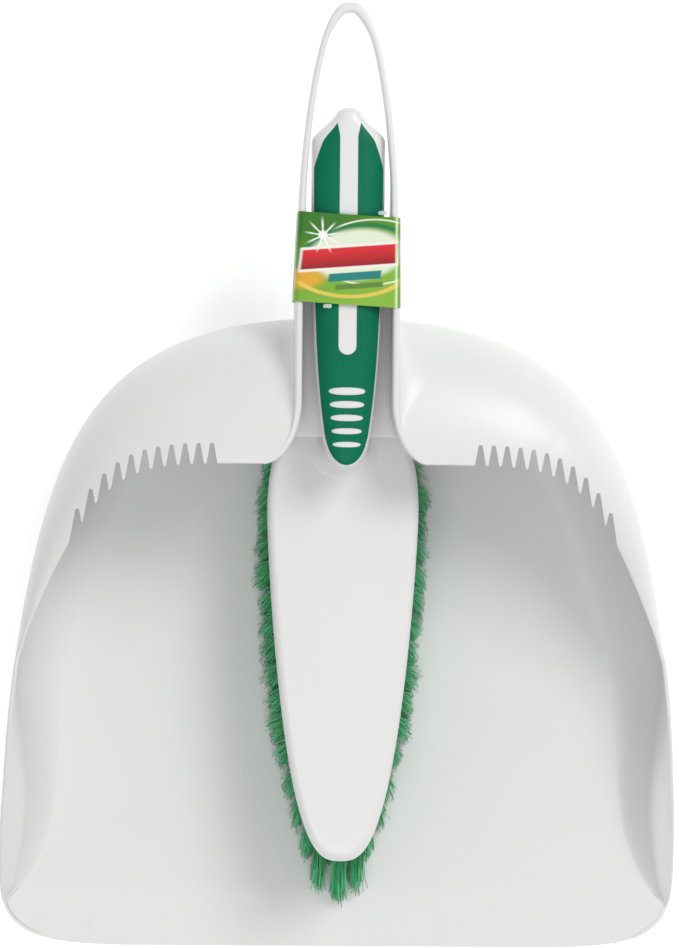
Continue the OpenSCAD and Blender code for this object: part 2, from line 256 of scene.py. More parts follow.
class Finish:
    """One material: constants go on the shader, and changing values come from nodes."""

    def __init__(self, name, **constants):
        self.material = bpy.data.materials.new(name)
        self.material.use_nodes = True
        self.tree = self.material.node_tree
        self.shader = self.tree.nodes["Principled BSDF"]
        for key, value in constants.items():
            self.shader.inputs[key.replace("_", " ")].default_value = value
        self.place = self.node("TexCoord").outputs["Object"]

    def plug(self, socket, value):
        if isinstance(value, Value):
            value = value.socket
        if isinstance(value, bpy.types.NodeSocket):
            self.tree.links.new(value, socket)
        else:
            socket.default_value = value

    def node(self, kind, settings=None, sockets=None):
        made = self.tree.nodes.new("ShaderNode" + kind)
        for key, value in (settings or {}).items():
            if key == "stops":
                ramp = made.color_ramp
                while len(ramp.elements) < len(value):
                    ramp.elements.new(0.5)
                for element, (position, colour) in zip(ramp.elements, value):
                    element.position, element.color = position, (*colour, 1)
            else:
                setattr(made, key, value)
        for key, value in (sockets or {}).items():
            self.plug(made.inputs[key], value)
        return made

    def noise(self, scale, detail=3, stretch=(1, 1, 1), place=None):
        """Soft random value; scale is in spots to a metre, stretch multiplies it along each axis."""
        spot = self.node("Mapping", None, {"Vector": place or self.place, "Scale": stretch}).outputs[0]
        made = self.node("TexNoise", None, {"Vector": spot, "Scale": scale, "Detail": detail})
        return Value(self, made.outputs[0])

    def axes(self):
        """x, y and z of the place on the object, in metres."""
        split = self.node("SeparateXYZ", None, {0: self.place})
        return [Value(self, split.outputs[i]) for i in range(3)]

    def blend(self, a, b, amount):
        """Colour a, turning to colour b as amount goes from 0 to 1."""
        colours = [(*c, 1) if isinstance(c, tuple) and len(c) == 3 else c for c in (a, b)]
        made = self.node("Mix", {"data_type": "RGBA"}, {0: amount, 6: colours[0], 7: colours[1]})
        return made.outputs[2]

    def colour(self, value):
        self.plug(self.shader.inputs["Base Color"], value)

    def rough(self, value):
        self.plug(self.shader.inputs["Roughness"], value)

    def bump(self, height, depth, strength=1.0):
        """Raises the surface by height, a value from 0 to 1, times depth in metres."""
        made = self.node("Bump", None, {"Height": height, "Distance": depth, "Strength": strength})
        self.plug(self.shader.inputs["Normal"], made.outputs[0])

    def put_on(self, *objects):
        for o in objects:
            o.data.materials.clear()
            o.data.materials.append(self.material)
        print(self.material.name, "on", len(objects), "pieces")


# %% [markdown]
# ## The pan's outline
# Seen from above, the pan is a round arch at the rear that opens towards the mouth, with a rounded corner
# at each end of a straight lip. It could be drawn as arcs, but one formula keeps the curvature flowing: the
# width grows quickly behind the hood and then slowly along the sides. The parameter s runs round the right
# half: 0 at the rear, 1 where the pan is widest, 2 where the lip begins and 3 at the middle of the lip.

# %% Outline
MOUTH, LIP_Y, ARCH_Y, WIDEST_Y, SIDE_LEN = 160.0, -221.0, 76.4, -170.0, 246.4
HOOD_Y, RIM_Y, WALL_END_Y = 7.5, -84.0, -203.0
RIM_S = ((ARCH_Y - RIM_Y) / SIDE_LEN) ** (1 / 3)
SIDE_H, HOOD_H, HOOD_DROP, HOOD_EDGE, CROWN_X = 43.0, 92.0, 6.0, 114.0, 90.0
WALL, FLOOR_T, LIP_T, LIP_LEN = 2.2, 2.4, 0.7, 27.0


def side_x(y):
    """Half width at y: 160 less a slow taper to the power 1.6, times a quick rise behind the arch."""
    slow = MOUTH - 35.8 * clamp((y - WIDEST_Y) / SIDE_LEN) ** 1.6
    return slow * clamp(1 - np.exp((y - ARCH_Y) / 34)) ** 0.417


def outline(s):
    """x and y at s: the side, then a superellipse of power 4.6 for the corner, then the straight lip."""
    y = ARCH_Y - SIDE_LEN * clamp(s) ** 3
    turn = np.radians(90 * clamp(s - 1))
    corner = [70 + 90 * clamp(np.cos(turn)) ** (2 / 4.6), WIDEST_Y - 51 * clamp(np.sin(turn)) ** (2 / 4.6)]
    x = np.where(s <= 1, side_x(y), np.where(s <= 2, corner[0], 70 * (3 - s)))
    return np.stack([x, np.where(s <= 1, y, np.where(s <= 2, corner[1], LIP_Y))], -1)


def outward(s):
    """Direction square to the outline, pointing away from the pan."""
    d = unit(outline(np.minimum(s + 0.004, 2.999)) - outline(np.maximum(s - 0.004, 0.0005)))
    return np.stack([-d[..., 1], d[..., 0]], -1)


along = np.linspace(0, 1, 56)[1:]
corner_s = 1 + along**2.3 / (along**2.3 + (1 - along) ** 2.3)
stations = np.concatenate([np.linspace(0, 1, 121), corner_s, np.linspace(2, 3, 15)[1:]])
print(len(stations), "stations; widest", outline(np.array([1.0]))[0].round(1))

# %% [markdown]
# ## The wall and the hood
# At each station the moulding rises from a foot on the floor, bulges out to a shoulder, and ends at a free
# edge. Behind the hood's front edge that edge is the hood itself, which curls forward over the pan. Further
# forward the wall ends in a narrow flange that leans outwards, and it sinks to nothing beside the lip. Two
# cubic arcs, one from foot to shoulder and one from shoulder to edge, give the section its soft S shape.

# %% Foot, shoulder and edge
def left_of(s):
    """1 where the side wall leaves the hood, 0 where it has sunk to nothing."""
    return clamp((outline(s)[..., 1] - WALL_END_Y) / (RIM_Y - WALL_END_Y))


def wall_height(s):
    """The wall's height: full at the hood, less (1 - left) to the power 1.5."""
    return SIDE_H * (1 - (1 - left_of(s)) ** 1.5)


def foot_inset(s):
    """How far the foot stands inside the outline."""
    rear = 27 + 12 * (1 - (np.minimum(s, RIM_S) / RIM_S) ** 6)
    return np.maximum(np.where(s < RIM_S, rear, 27 * (1 - (1 - left_of(s)) ** 5.5)), 2.2)


def hood_x(d):
    """Half width of the hood's front edge where it has come forward by d: a quick turn, then a straight run."""
    run = (side_x(np.array(RIM_Y)) - HOOD_EDGE) * d / (HOOD_Y - RIM_Y)
    return HOOD_EDGE * clamp(1 - np.exp(-d / 20)) ** 0.121 + run


def free_edge(s):
    """Top of the wall in front of the hood; the hood's front edge behind it."""
    low = np.concatenate([outline(s), wall_height(s)[..., None]], -1)
    part = np.minimum(s, RIM_S) / RIM_S
    d = (HOOD_Y - RIM_Y) * part**6.8
    x = hood_x(d)
    rise = (HOOD_H - HOOD_DROP - SIDE_H) * clamp(1 - d / (HOOD_Y - RIM_Y)) ** 1.5
    crown = HOOD_DROP * clamp(1 - (x / CROWN_X) ** 2)
    high = np.stack([x, HOOD_Y - d, SIDE_H + (rise + crown)], -1)
    return np.where((s >= RIM_S)[..., None], low, high)


def sections(s, v):
    """Points of the outer face: rows for s; columns for v, 0 at the foot, 1 at the shoulder, 2 at the edge."""
    s, v = s[:, None], v[None, :, None]
    n2 = outward(s[:, 0])[:, None, :]
    n = np.concatenate([n2, np.zeros_like(n2[..., :1])], -1)
    o, h = outline(s), wall_height(s)
    leans, is_rim = [ease((s - RIM_S + early) / 0.12)[..., None] for early in (0, 0.12)]
    up = np.array([0.0, 0.0, 1.0])
    foot = np.concatenate([o - foot_inset(s)[..., None] * n2, np.zeros_like(o[..., :1])], -1)
    in_by = leans * np.minimum(10.5, 0.4 * foot_inset(s))[..., None]
    shoulder = np.concatenate([o - in_by * n2, h[..., None] * mix(1, 0.78, is_rim)], -1)
    edge = free_edge(s)
    lean = unit(mix(up, unit(0.30 * n + up), leans))
    fold = unit(mix(up, unit(0.80 * n + up), leans))
    run = (edge - shoulder) * [1, 1, 0]
    reach = np.linalg.norm(run, axis=-1, keepdims=True)
    end = np.where((s < RIM_S)[..., None], run / np.maximum(reach, 0.01), unit(n + 0.8 * up))
    climb = np.abs(edge - shoulder)[..., 2:]
    out = np.linalg.norm(shoulder - foot, axis=-1, keepdims=True)
    foot_arm, under_arm = mix(0.42, 0.24, leans) * out * n, 0.42 * shoulder[..., 2:] * lean
    over_arm, edge_arm = 0.6 * climb * fold, 0.6 * np.minimum(reach, 1.5 * climb) * end
    lower = arc(foot, foot + foot_arm, shoulder - under_arm, shoulder, clamp(v))
    upper = arc(shoulder, shoulder + over_arm, edge - edge_arm, edge, clamp(v - 1))
    return np.where(v < 1, lower, upper)


probe = sections(np.array([0.3, 1.0]), np.linspace(0, 2, 5))
print("section at the widest part:", probe[1].round(1).tolist())

# %% [markdown]
# ## The moulding as one closed skin
# A moulding is a sheet of even thickness. Its outer face is the grid of sections, carried inwards over the
# floor to the pan's middle line. Its inner face is the same grid moved inwards, square to the surface, by
# the local thickness, which thins towards the lip. A half-round bead of four points joins the two faces at
# the free edge, because a moulded rim is never a knife edge. The right half is mirrored and the two are
# merged on the middle line. The lip's long wedge starts at a crisp line, so the skin is split there before
# the floor is thinned.

# %% Outer face, inner face and rim
def floor_thickness(y):
    """Thickness of the floor at y: a wedge over the last 27 mm before the lip."""
    return mix(LIP_T, FLOOR_T, clamp((y - LIP_Y) / LIP_LEN))


def grid_normals(points):
    """Unit normals of a grid, from the cross product of its row and column differences."""
    return unit(np.cross(np.gradient(points, axis=1), np.gradient(points, axis=0)))


FLAT = 12
rise_v = np.concatenate([np.linspace(0, 1, 15)[:-1], np.linspace(1, 2, 21)])
thick = np.maximum(0.75, np.minimum(WALL, 0.4 * wall_height(stations)))[:, None]
trial = sections(stations, np.linspace(1, 2, 41))
upper_len = np.linalg.norm(np.diff(trial, axis=1), axis=-1).sum(1)[:, None]
keep = 1 - np.minimum(thick / 2 / upper_len, 0.9)
shares = [np.where(rise_v > 1, 1 + (rise_v - 1) * kept, rise_v) for kept in keep]
outer = np.concatenate([sections(stations[i : i + 1], v) for i, v in enumerate(shares)])

middle = np.zeros((len(stations), 1, 3))
middle[:, 0, 1] = np.interp(np.arange(len(stations)), [0, 120, len(stations) - 1], [22, -120, -212])
across = np.linspace(0, 1, FLAT + 1)[None, :-1, None]
outer = np.concatenate([mix(middle, outer[:, :1], across), outer], 1)
outer[[0, -1], :, 0] = 0
normals = grid_normals(outer)
normals[:, :FLAT] = [0, 0, -1]
sunk = ease(1 - wall_height(stations) / 5)[:, None, None]
normals = unit(mix(normals, np.array([0.0, 0, -1]), sunk))
normals[[0, -1], :, 0] = 0
rise = np.concatenate([np.zeros(FLAT), rise_v])[None, :]
depth = mix(floor_thickness(outer[..., 1]), thick, ease(rise / 0.6))
inner = outer - depth[..., None] * unit(normals)
print("outer face", outer.shape, "normals point out:", normals[60, -8].round(2))

# %% Rim bead and both halves
tip, root = outer[:, -1:], inner[:, -1:]
gap = np.linalg.norm(root - tip, axis=-1, keepdims=True)
through = (root - tip) / gap
ahead = unit(outer[:, -1:] - outer[:, -2:-1])
ahead = unit(ahead - (ahead * through).sum(-1, keepdims=True) * through)
bead_turn = np.radians([36, 72, 108, 144])[None, :, None]
bead = (tip + root) / 2 - gap / 2 * np.cos(bead_turn) * through + gap / 2 * np.sin(bead_turn) * ahead
skin = np.concatenate([outer, bead, inner[:, ::-1]], 1)
skin[[0, -1], :, 0] = 0
rows, cols = skin.shape[:2]
points = np.concatenate([skin.reshape(-1, 3), skin.reshape(-1, 3) * [-1, 1, 1]])
faces = np.concatenate([grid_faces(rows, cols), grid_faces(rows, cols, start=rows * cols)[:, ::-1]])
moulding = seal(bare_mesh("pan_moulding", points, faces), gap=0.004, level=LIP_Y + LIP_LEN)
xyz = np.empty(len(moulding.vertices) * 3, np.float32)
moulding.vertices.foreach_get("co", xyz)
xyz = xyz.reshape(-1, 3) / MM
print("moulding:", len(moulding.vertices), "points, box", xyz.min(0).round(1), xyz.max(0).round(1))

# %% Thin the floor to the lip
wedge = (xyz[:, 1] < LIP_Y + LIP_LEN + 0.4) & (xyz[:, 2] > 0.3)
wedge &= np.abs(xyz[:, 2] - floor_thickness(xyz[:, 1])) < 0.35
xyz[wedge, 2] = floor_thickness(xyz[wedge, 1])
moulding.vertices.foreach_set("co", (xyz * MM).ravel())
moulding.update()
print("points set on the wedge:", int(wedge.sum()))

# %% [markdown]
# ## The comb
# The hood's front edge carries two combs that strip fluff from the bristles. Each comb is one saw-toothed
# prism: a round root at the top of every notch, straight flanks that widen by 0.18 mm for each millimetre,
# and a point where two flanks meet. The notches follow the edge as it turns back, so their roots are found
# from the edge's own formula.

# %% Cut the comb
FLANK, NOTCHES, NOTCH_X, NOTCH_PITCH, NOTCH_DEPTH = 0.1823, 11, 62, 6.2, 10
notch_x = NOTCH_X + NOTCH_PITCH * np.arange(NOTCHES)
steps = np.linspace(0, 91, 4000)
notch_root = HOOD_Y - np.interp(notch_x, hood_x(steps), steps) + NOTCH_DEPTH
round_root = np.radians(np.linspace(180, 0, 9))
saw = [[[notch_x[0] - 4.46, notch_root[0] - 20]]]
for i in range(NOTCHES):
    saw.append(np.c_[notch_x[i] + np.cos(round_root), notch_root[i] - 1 + np.sin(round_root)])
    if i < NOTCHES - 1:
        low = (notch_root[i] + notch_root[i + 1]) / 2 - 12.52
        saw.append([[notch_x[i] + 1 + FLANK * (notch_root[i] - low - 1), low]])
saw.append([[notch_x[-1] + 4.46, notch_root[-1] - 20]])
saw = np.concatenate(saw)
for side in (1, -1):
    moulding = cut(moulding, prism(saw * [side, 1], 20, 110))
print("notch roots from y", notch_root[0].round(1), "to", notch_root[-1].round(1))

# %% [markdown]
# ## The trough and its loop
# The brush's handle lies in a trough that grows out of the hood. Its two walls start as round lobes beside
# the opening, run back side by side, and close in a tall pointed loop to hang the set on a hook. One band
# makes all of it: a rounded rectangle carried along the plan outline, whose height, thickness and corner
# radii change on the way. A sweep suits it better than a cut block, because the top edges stay evenly
# rounded.

# %% Plan of the trough
LOBE_Y, LOBE_LEN, LOOP_Y, LOOP_LEN = 37.5, 30, 131, 90
TOP, UNDER, BAND_T, LOBE_STEPS = 93.0, 63.5, 3.4, 22


def trough_x(y):
    """Half width: 24.2, a quarter-ellipse flare in front, 22.8 at the loop, which closes to the power 0.4."""
    flare = 18.5 * (1 - np.sqrt(1 - clamp((LOBE_Y - y) / LOBE_LEN) ** 2))
    wall = mix(45.6, 48.4, clamp((LOOP_Y - y) / 52)) / 2 + flare
    return np.where(y <= LOOP_Y, wall, 22.8 * clamp(1 - clamp((y - LOOP_Y) / LOOP_LEN) ** 1.35) ** 0.4)


top_row = sections(np.array([0.13]), np.linspace(1, 2, 120))[0]


def hood_top(x, y):
    """Height of the hood's top beside the trough: its section at x = 28, lowered as x squared like its edge."""
    drop = HOOD_DROP * ((x / CROWN_X) ** 2 - (28 / CROWN_X) ** 2)
    return np.interp(y, top_row[::-1, 1], top_row[::-1, 2]) - drop


lobe = np.sin(np.radians(np.linspace(86, 0, LOBE_STEPS)))
loop_y = mix(LOOP_Y, LOOP_Y + LOOP_LEN, 1 - (1 - np.linspace(0, 1, 60)[1:]) ** 2)
way = np.concatenate([LOBE_Y - LOBE_LEN * lobe, np.linspace(LOBE_Y, LOOP_Y, 40)[1:], loop_y])
on_lobe = np.arange(len(way)) < LOBE_STEPS
plan = np.stack([trough_x(way), way], -1)
plan[-1, 0] = 0
travel = unit(np.gradient(plan, axis=0))
away = np.stack([travel[:, 1], -travel[:, 0]], -1)
away[-1] = [0, 1]
band = mix(BAND_T, 3.0, ease((way - 110) / 40)) + 1.5 * ease((way - 204) / 15)
band[on_lobe] = mix(BAND_T, 2.0, ease(lobe))
near = plan - np.where(on_lobe, BAND_T, band)[:, None] * np.where(on_lobe[:, None], [1, 0], away)
plan[on_lobe, 0] -= BAND_T
print("band path:", len(way), "stations on one side")

# %% Sweep the band
def rounded_section(width, low, high, radii, turns=6):
    """Points (across, up) of a rectangle; radii for its near top, far top, far low and near low corner."""
    spots = [(0, high, 1, -1, 180), (width, high, -1, -1, 90), (width, low, -1, 1, 0), (0, low, 1, 1, -90)]
    out = []
    for (x, z, sx, sz, first), r in zip(spots, radii):
        a = np.radians(first - np.linspace(0, 90, turns))[None, :]
        across = (x + sx * r)[:, None] + r[:, None] * np.cos(a)
        out.append(np.stack([across, (z + sz * r)[:, None] + r[:, None] * np.sin(a)], -1))
    return np.concatenate(out, 1)


on_hood = hood_top(plan[:, 0], way)
z_high = mix(on_hood + 0.04, TOP, ease((way - 12) / 30))
z_low = mix(UNDER, TOP - 11, ease((way - 117) / 27))
z_low = mix(z_high - 2.4, z_low, ease((way - 7) / 15))
near_top = np.minimum(mix(1.5, 1.6, ease((way - 12) / 20)), mix(0.8, 0.48, ease((way - 20) / 20)) * band)
far_top = np.minimum(mix(0.02, 1.6, ease((way - 14) / 26)), band * 0.5)
low_corner = np.minimum(0.9, band * 0.4)
section = rounded_section(band, z_low, z_high, [near_top, far_top, low_corner, low_corner])
swept = np.concatenate([near[:, None] + section[..., :1] * away[:, None], section[..., 1:]], -1)
swept = np.concatenate([swept, (swept * [-1, 1, 1])[:-1][::-1]])
band_mesh = lofted("trough_band", swept, angle=50)
print("loop's top at y", swept[..., 1].max().round(1), "and z", z_high.max())

# %% [markdown]
# Where a wall stands on the hood, plastic needs a fillet, or the corner would mark. It is one more sweep: a
# hollow quarter ellipse, which grows with the height of the wall above the hood.

# %% Fillets between the trough and the hood
part = (way > 13) & (way < 74)
base, wall_out, out_dir = on_hood[part], near[part] + band[part, None] * away[part], away[part]
stands = np.maximum(z_high[part] - base, 0.08)[:, None]
to_rear = ease((way[part, None] - 46) / 20)
wide = mix(np.minimum(15.0, 1.7 * stands), 5.0, to_rear)
tall = mix(np.minimum(0.62 * stands, 10.0), 5.0, to_rear)
hollow = np.radians(np.linspace(0, 90, 13))[None, :]
in_wall, in_hood = np.full_like(wide, -0.6), np.full_like(wide, -1.2)
reach = np.concatenate([in_wall, wide * (1 - np.cos(hollow)), wide + 0.2, in_wall], 1)
climb = np.concatenate([tall, tall * (1 - np.sin(hollow)), in_hood, in_hood], 1)
spread = wall_out[:, None] + reach[..., None] * out_dir[:, None]
hood = BVHTree.FromPolygons([v.co for v in moulding.vertices], [f.vertices for f in moulding.polygons])
below = [hood.ray_cast(Vector((x * MM, y * MM, 0.12)), Vector((0, 0, -1)))[0] for x, y in spread.reshape(-1, 2)]
ground = hood_top(spread[..., 0], spread[..., 1]).ravel()
ground = np.array([spot.z / MM if spot else guess for spot, guess in zip(below, ground)])
ground = ground.reshape(spread.shape[:2])
hug = np.concatenate([spread, (ground + climb - 0.03)[..., None]], -1)
fillets = np.concatenate([hug.reshape(-1, 3), (hug * [-1, 1, 1]).reshape(-1, 3)])
strip = grid_faces(*hug.shape[:2], ring=True)
strips = np.concatenate([strip, strip[:, ::-1] + hug.shape[0] * hug.shape[1]])
fillet_mesh = seal(bare_mesh("hood_fillets", fillets, strips), angle=50)
print("fillets up to", round(wide.max(), 1), "mm wide")

# %% [markdown]
# The hood is opened between the lobes, so that the band's rounded edge forms the rim of the opening. The
# trough's floor is a thin plate with a half-round front edge, and small fillets where it meets the walls.

# %% Open the hood and lay the trough's floor
FLOOR_Y0, FLOOR_Y1, FLOOR_R = 20.5, 121.05, 1.25
edge_of_gap = plan[on_lobe] + [0.9, 0]
half = np.concatenate([[[edge_of_gap[0, 0], 2]], edge_of_gap, [[21.7, 90]]])
moulding = cut(moulding, prism(both_sides(half), UNDER - 0.05, 120))


def round_end(gap):
    """Share of the plate's half thickness, gap inside its end: a half round."""
    return np.sqrt(clamp(1 - (1 - clamp(gap / FLOOR_R)) ** 2))


fraction = np.linspace(-1, 1, 33)[:, None]
ends = np.radians(np.linspace(0, 90, 9))
front_y, rear_y = FLOOR_Y0 + FLOOR_R * (1 - np.cos(ends)), FLOOR_Y1 - FLOOR_R * (1 - np.sin(ends))
lay_y = np.concatenate([front_y, np.linspace(23, 118, 24)[1:-1], rear_y])
half_w = trough_x(lay_y)[None, :] - 2.6
x = fraction * half_w
from_wall = half_w - 0.8 - np.abs(x)
fillet = 2.0 - np.sqrt(np.maximum(4.0 - np.maximum(2.0 - np.maximum(from_wall, 0), 0) ** 2, 0))
end_round = round_end(lay_y - FLOOR_Y0) * round_end(FLOOR_Y1 - lay_y)
top = UNDER + FLOOR_R + end_round * (FLOOR_R + fillet)
low = UNDER + FLOOR_R - end_round * FLOOR_R + 0 * x
upper_face, lower_face = [np.stack([x, lay_y + 0 * x, z], -1) for z in (top, low)]
sheet = np.concatenate([upper_face, lower_face[:, ::-1]], 1)
floor_mesh = lofted("trough_floor", sheet, gap=0.001)

pan_pieces = [
    piece("pan_moulding", moulding, "pan", "white_plastic", "pan_shell"),
    piece("trough_band", band_mesh, "pan", "white_plastic", "handle_trough", "hanging_loop"),
    piece("hood_fillets", fillet_mesh, "pan", "white_plastic"),
    piece("trough_floor", floor_mesh, "pan", "white_plastic", "handle_trough"),
]

# %% [markdown]
# ## The brush's block and handle
# The block is a long drop shape, round at the heel and narrow at the tip, with a rolled upper edge. It is
# made of rings of one outline, each smaller and higher than the last, ending in a point at the middle of
# the top. The handle is a loft of superellipse rings. A short neck, wide at its foot, joins the two, and
# all three stay separate closed skins that sink into one another, which is how the eye reads one moulding.

# %% Block
BLOCK_Z, BLOCK_T = 42.0, 15.0
BLOCK_TOP = BLOCK_Z + BLOCK_T
WIDE_Y, TIP_Y, HEEL_Y = -15.7, -177.5, 36.0
BLOCK_HALF, ROLL_R, POLE_Y = 35.3, 4.2, -35.7


def block_x(y):
    """Half width of the block: superellipses of power 1.27 to the tip and 2.5 to the heel."""
    front = clamp(1 - clamp((WIDE_Y - y) / (WIDE_Y - TIP_Y)) ** 1.27) ** 0.355
    back = clamp(1 - clamp((y - WIDE_Y) / (HEEL_Y - WIDE_Y)) ** 2.5) ** 0.4
    return BLOCK_HALF * np.where(y < WIDE_Y, front, back)


round_it = np.radians(np.linspace(0, 180, 61))
ring_y = mix(HEEL_Y, TIP_Y, (1 - np.cos(round_it)) / 2)
right = np.stack([block_x(ring_y), ring_y], -1)
right[[0, -1], 0] = 0
block_ring = np.concatenate([right, (right * [-1, 1])[::-1][1:-1]])
roll = np.radians(np.linspace(0, 90, 9))
edge_in, crown_in = ROLL_R * (1 - np.cos(roll)), np.linspace(6, BLOCK_HALF, 12)
edge_up, crown_up = BLOCK_T - ROLL_R + 3.6 * np.sin(roll), BLOCK_T - 0.6 + 0.6 * ease(np.linspace(0.05, 1, 12))
inset = np.concatenate([[BLOCK_HALF, 26, 14, 5, 1.0, 0.4, 0, 0, 0], edge_in, crown_in])
height = np.concatenate([[0, 0, 0, 0, 0, 0.12, 0.6, 4, 8], edge_up, crown_up])
rings_x = np.outer(1 - inset / BLOCK_HALF, block_ring[:, 0])
rings_y = WIDE_Y + np.outer(1 - inset / 90 - 0.607 * clamp((inset - 6) / 29.3), block_ring[:, 1] - WIDE_Y)
rings = np.stack([rings_x, rings_y, np.repeat(BLOCK_Z + height[:, None], len(block_ring), 1)], -1)
rings[[0, -1], :, 1] = POLE_Y
for r, t in ((1, 0.35), (2, 0.7)):
    rings[r, :, 1] = mix(POLE_Y, rings[3, :, 1], t)
block_mesh = lofted("brush_block", rings, angle=40)

# %% Handle
HANDLE_Y0, HANDLE_Y1, HANDLE_Z0, HANDLE_Z1 = 6.4, 172.6, 68.3, 91.5


def handle_x(y):
    """Half width: 17.4 less 9.2 exp(-up / 40), with a round toe, sloping shoulders and a blunt nose."""
    up, down = y - HANDLE_Y0, HANDLE_Y1 - y
    width = 17.4 - 9.2 * np.exp(-up / 40)
    toe = clamp(1 - clamp(1 - up / 13) ** 2.6) ** 0.385
    blunt = clamp(1 - clamp(1 - down / 2.5) ** 2) ** 0.5
    return width * toe * mix(0.32, 1, ease((down - 1) / 15)) * blunt


def handle_skin(grow, sides=56):
    """Rings of the handle, each a superellipse of power 0.75, grown outwards by grow."""
    t = np.linspace(0, 1, 110)
    toe_y = HANDLE_Y0 + 16 * (1 - np.cos(np.radians(300 * t)))
    nose_y = HANDLE_Y1 - 22 * (1 - np.cos(np.radians(264.7 * (1 - t))))
    middle_y = mix(HANDLE_Y0 + 16, HANDLE_Y1 - 22, (t - 0.3) / 0.36)
    y = np.where(t < 0.3, toe_y, np.where(t > 0.66, nose_y, middle_y))[:, None]
    up, down = y - HANDLE_Y0, HANDLE_Y1 - y
    end = ease(np.minimum(up + 3, down + 4) / 16)
    h = 11.6 * mix(0.7, 1, end)
    roll_off = 3.6 * (1 - np.sqrt(clamp(1 - (1 - clamp(np.minimum(up, down) / 7)) ** 2)))
    a = np.linspace(0, 2 * np.pi, sides, endpoint=False)[None, :]
    w = handle_x(y) + grow * (handle_x(y) > 0.3)
    top = HANDLE_Z1 - h + (h - roll_off) * np.abs(np.sin(a)) ** 0.75
    low = HANDLE_Z1 - h - (h - 0.6 * roll_off) * np.abs(np.sin(a)) ** 0.75
    z = np.where(np.sin(a) >= 0, top, low) + grow * np.sin(a)
    x = w * bend(np.cos(a), 0.75)
    return np.stack([x, y + 0 * x, z], -1)


skin = handle_skin(0)
handle_mesh = lofted("brush_handle", skin, angle=60)
print("handle box", skin.min((0, 1)).round(1), skin.max((0, 1)).round(1))

# %% Neck
climb = np.radians(np.linspace(0, 90, 16))[:, None]
a = np.linspace(0, 2 * np.pi, 48, endpoint=False)[None, :]
spread = np.concatenate([1 - np.sin(climb), [[0.0]]])
tall = np.concatenate([10 * (1 - np.cos(climb)), [[16.0]]])
neck_x, neck_y = (7.4 + 11 * spread) * np.cos(a), 13.2 - 1.5 * spread + (5.2 + 9 * spread) * np.sin(a)
neck = np.stack([neck_x, neck_y, BLOCK_TOP - 0.75 + tall + 0 * a], -1)
neck_mesh = lofted("brush_neck", neck, angle=50)

brush_pieces = [
    piece("brush_block", block_mesh, "brush", "brush_white", "brush_body"),
    piece("brush_handle", handle_mesh, "brush", "brush_white", "brush_body"),
    piece("brush_neck", neck_mesh, "brush", "brush_white", "brush_body"),
]

# %% [markdown]
# ## The green grip
# The grip is a second shot of soft plastic over the white handle: two long lobes, joined below a white
# strip, with five slots that let the white show. It stands a quarter of a millimetre proud. The handle's
# own skin is grown by that much, and the part inside an upright prism with the grip's outline is kept, so
# the grip follows the handle exactly and its edges are crisp.

# %% Cut the grip out of a grown handle
GRIP_Y0, GRIP_Y1, GROWN, SLOTS, CUT_Z = HANDLE_Y0 + 1.1, HANDLE_Y1 - 6, 0.28, 5, (80, 110)


def pill(x0, y0, x1, y1, radius):
    """Upright prism round the line from x0, y0 to x1, y1, as far as radius from it."""
    lead = math.atan2(y1 - y0, x1 - x0)
    a = np.linspace(0, np.pi, 17)
    far = np.c_[x1 + radius * np.cos(lead - np.pi / 2 + a), y1 + radius * np.sin(lead - np.pi / 2 + a)]
    back = np.c_[x0 + radius * np.cos(lead + np.pi / 2 + a), y0 + radius * np.sin(lead + np.pi / 2 + a)]
    return prism(np.concatenate([far, back]), *CUT_Z)


k = np.linspace(0, np.pi, 90)
y = mix(GRIP_Y0, GRIP_Y1, (1 - np.cos(k)) / 2)
point = clamp((GRIP_Y1 - y) / 22) ** 0.55
x = mix(4.6, handle_x(np.where(y < HANDLE_Y0 + 13, y - 1.1, y)) - 1.1, point)
x[0] = 0
grown = handle_skin(GROWN, 72)
grip_mesh = lofted("brush_grip_skin", grown)
grip_mesh = cut(grip_mesh, prism(both_sides(np.stack([x, y], -1)), 85.4, 110), "INTERSECT")
grip_mesh = cut(grip_mesh, pill(0, HANDLE_Y0 + 56.2, 0, HANDLE_Y1, 4.2))
for side in (-1, 1):
    grip_mesh = cut(grip_mesh, pill(side * 2.3, HANDLE_Y1 - 13, side * 4.0, HANDLE_Y1 - 5, 1.9))
a = np.linspace(0, 2 * np.pi, 40, endpoint=False)
for n in range(SLOTS):
    reach, tall, at = 6.6 + 0.48 * n, 1.3 + 0.125 * n, HANDLE_Y0 + 10.6 + 6.15 * n
    slot = np.c_[reach * bend(np.cos(a), 0.9), at + tall * bend(np.sin(a), 0.8)]
    grip_mesh = cut(grip_mesh, prism(slot, *CUT_Z))
grip = piece("brush_grip_skin", grip_mesh, "brush", "grip_green", "brush_grip")

# %% [markdown]
# ## The bristles
# Ninety-nine tufts stand in seventeen rows. A tuft is a bundle of seventy plastic filaments, folded in half
# and stapled into its hole, so 140 ends start round and tight and fan out towards their tips. The outer
# tufts lean outwards and the front ones lean forwards. Each filament is a thin four-sided tube on a curve
# with a little random bow, and its tips gather in a few clumps, as used bristles do. All filaments of a row
# are computed in one array. Two attributes go with every point: its share of the length, and its filament's
# tint.

# %% Rows of tufts
ROWS, PITCH, TUFT_GAP = 17, 12.0, 9.6
HAIRS, JOINTS, HOLE_R, ROOT_Z = 140, 6, 1.95, BLOCK_Z + 1.5
chance = np.random.default_rng(11)


def row_place(k):
    """y of row k, its half width, and how many tufts it has."""
    y = TIP_Y + (9.5 if k == 1 else 20.5 + (k - 2) * PITCH)
    half = float(block_x(np.array(y))) - 6 + (1 if k == 1 else 0)
    return y, half, max(3, math.floor(2 * half / TUFT_GAP + 1.5))


